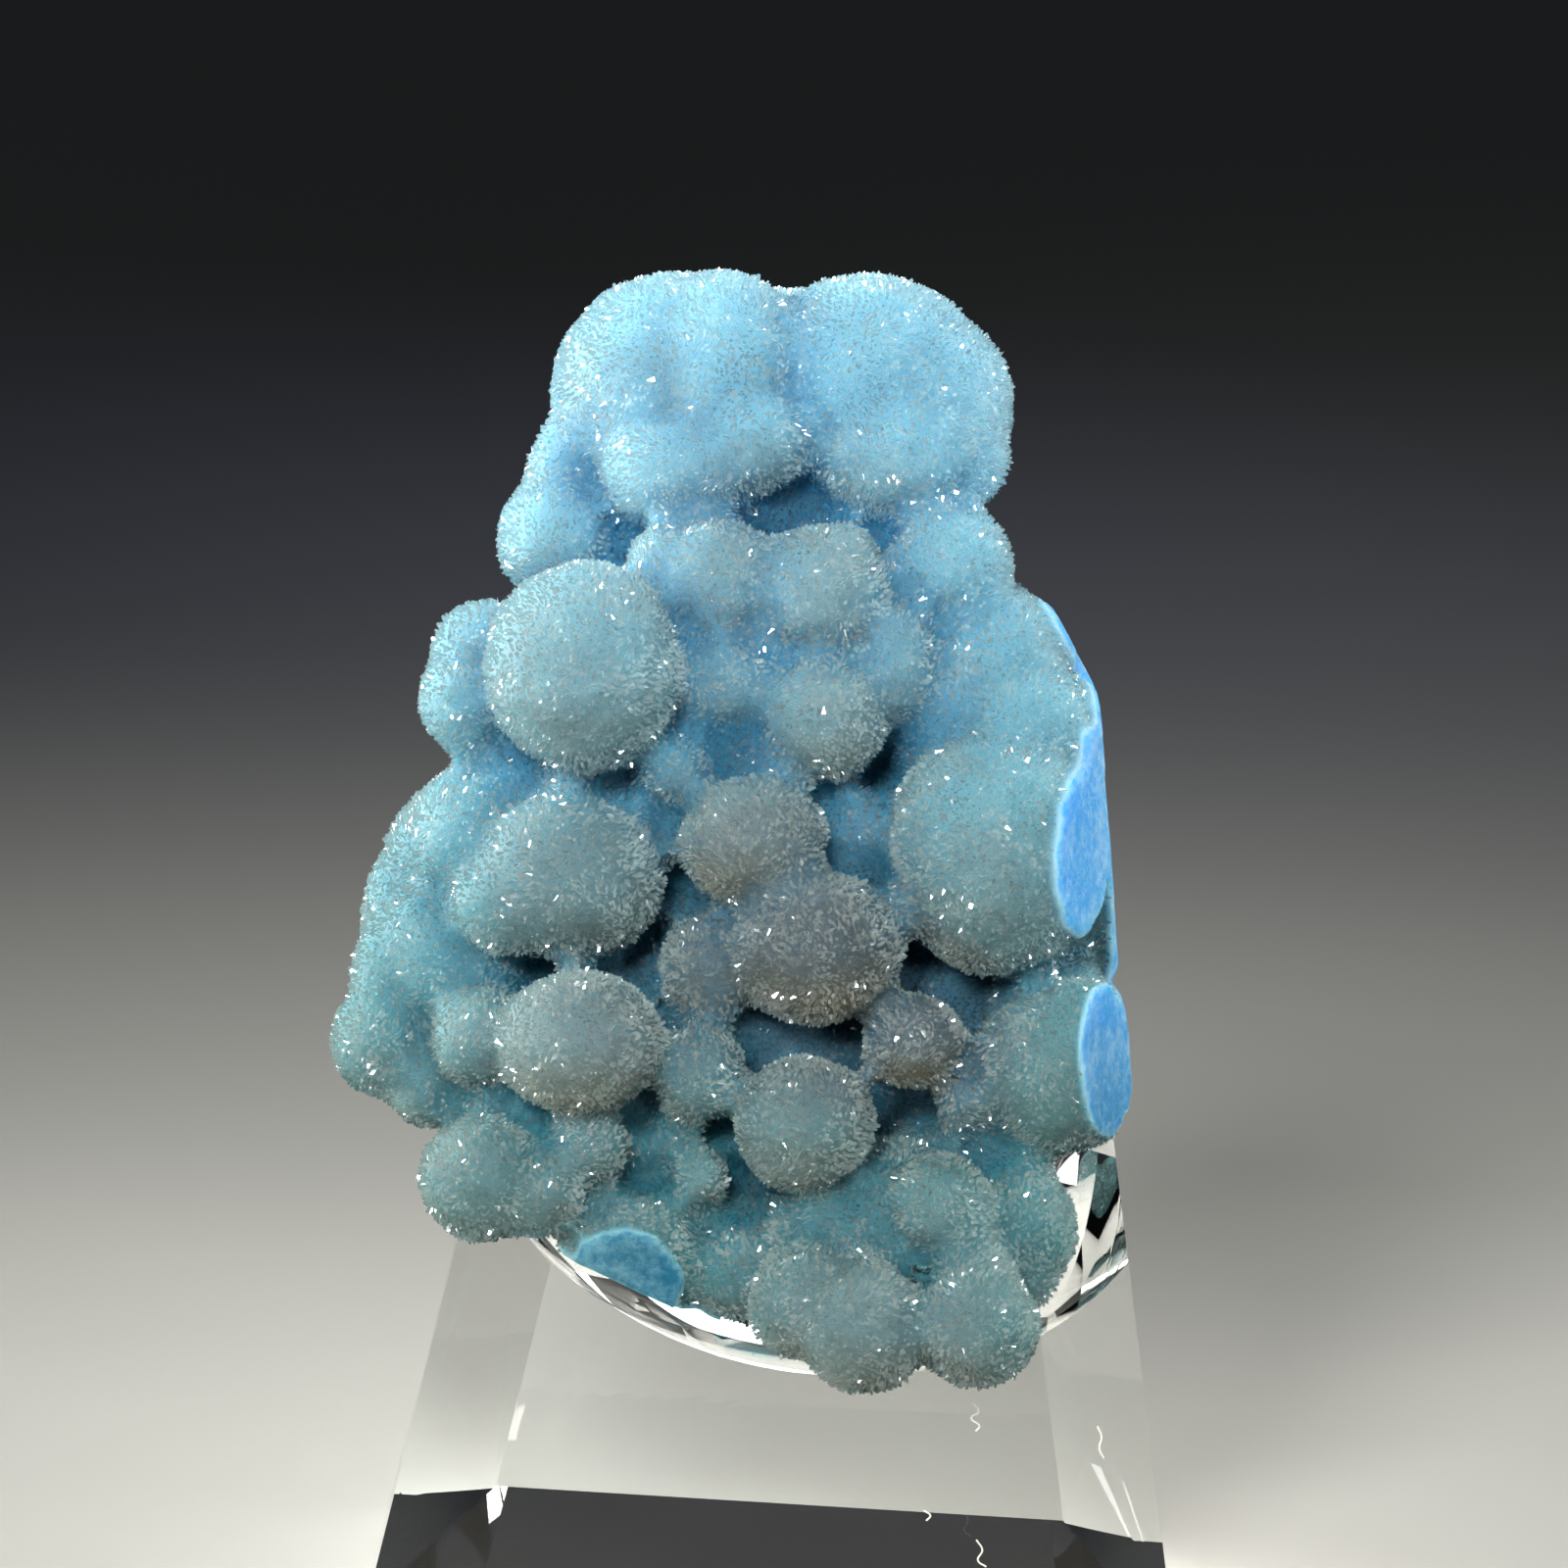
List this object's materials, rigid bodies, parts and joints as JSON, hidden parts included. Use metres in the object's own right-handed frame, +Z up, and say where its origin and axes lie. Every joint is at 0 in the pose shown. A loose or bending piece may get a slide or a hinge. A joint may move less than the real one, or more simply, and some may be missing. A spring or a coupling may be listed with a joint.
{
  "type": "hemimorphite specimen on a display stand",
  "caption": "Blue botryoidal hemimorphite with a drusy crust, upright in the scooped seat of a clear acrylic stand.",
  "frame": {"origin": "on the stand's flat underside, under the middle of the stand", "axes": "+Z up; the stone's lobed face looks towards -Y; +X is to the right of someone who faces it"},
  "size_m": [0.0536, 0.0402, 0.0809],
  "materials": {
    "hemimorphite": "translucent blue crystal crust, glittering",
    "clear_acrylic": "clear, sawn and polished"
  },
  "bodies": {
    "root": {"hemimorphite": "hemimorphite", "acrylic_stand": "clear_acrylic"}
  },
  "joints": []
}
